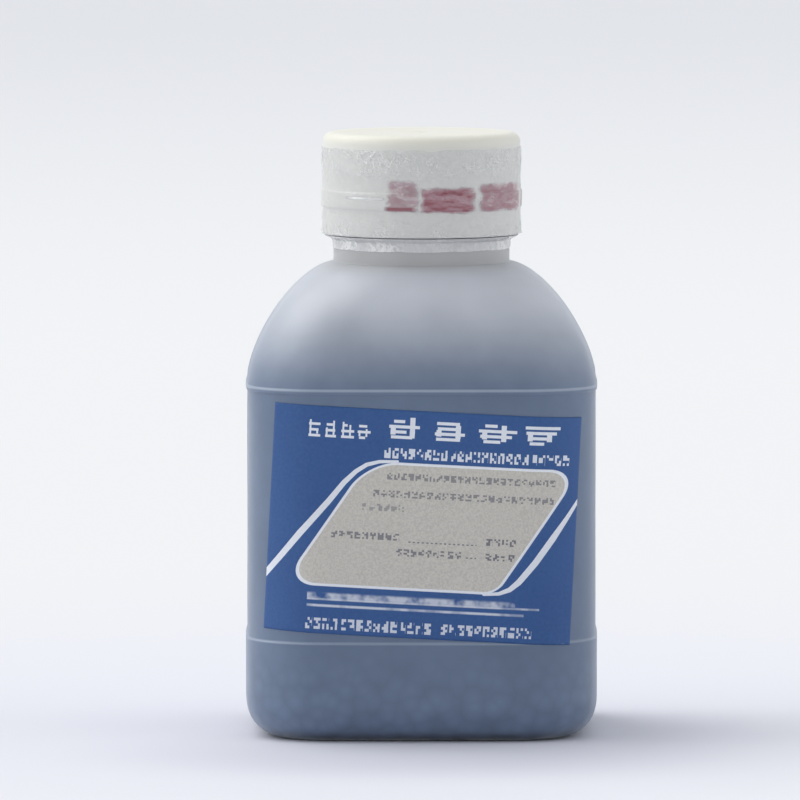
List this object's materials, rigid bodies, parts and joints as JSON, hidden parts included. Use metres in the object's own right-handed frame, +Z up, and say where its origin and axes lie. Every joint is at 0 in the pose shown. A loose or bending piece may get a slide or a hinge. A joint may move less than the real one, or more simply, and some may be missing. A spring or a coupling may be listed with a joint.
{
  "type": "desiccant bottle",
  "caption": "Square translucent plastic bottle of blue indicating silica gel beads, with a domed shoulder, white screw cap under a clear shrink seal and a paper label.",
  "frame": {"origin": "on the ground, at the middle of the bottle's base", "axes": "+Z up along the neck; -Y is the labelled front"},
  "size_m": [0.0882, 0.0882, 0.1499],
  "materials": {
    "bottle_plastic": "satin",
    "gel_beads": "satin",
    "stopper_plastic": "satin",
    "cap_plastic": "satin",
    "liner_foam": "matte",
    "shrink_film": "gloss",
    "label_paper": "satin"
  },
  "bodies": {
    "bottle_body": {"bottle": "bottle_plastic", "silica_gel": "gel_beads", "front_label": "label_paper", "neck_collar": "shrink_film"},
    "cap_carrier": {"cap_liner": "liner_foam"},
    "cap": {"screw_cap": "cap_plastic", "cap_sleeve": "shrink_film"},
    "stopper": {"inner_stopper": "stopper_plastic"}
  },
  "joints": [
    {"name": "cap_lift", "type": "slide", "parent": "bottle_body", "child": "cap_carrier", "axis": [0, 0, 1], "range_m": [0, 0.0381]},
    {"name": "cap_turn", "type": "hinge", "parent": "cap_carrier", "child": "cap", "pos_m": [0, 0, 0.1245], "axis": [0, 0, 1], "range_deg": [0, 3240]},
    {"name": "stopper_lift", "type": "slide", "parent": "bottle_body", "child": "stopper", "axis": [0, 0, 1], "range_m": [0, 0.0135]}
  ],
  "couplings": [
    {"joint": "cap_lift", "follows": "cap_turn", "m_per_rad": 0.0006737},
    {"joint": "stopper_lift", "follows": "cap_turn", "m_per_rad": 0.0002387}
  ]
}
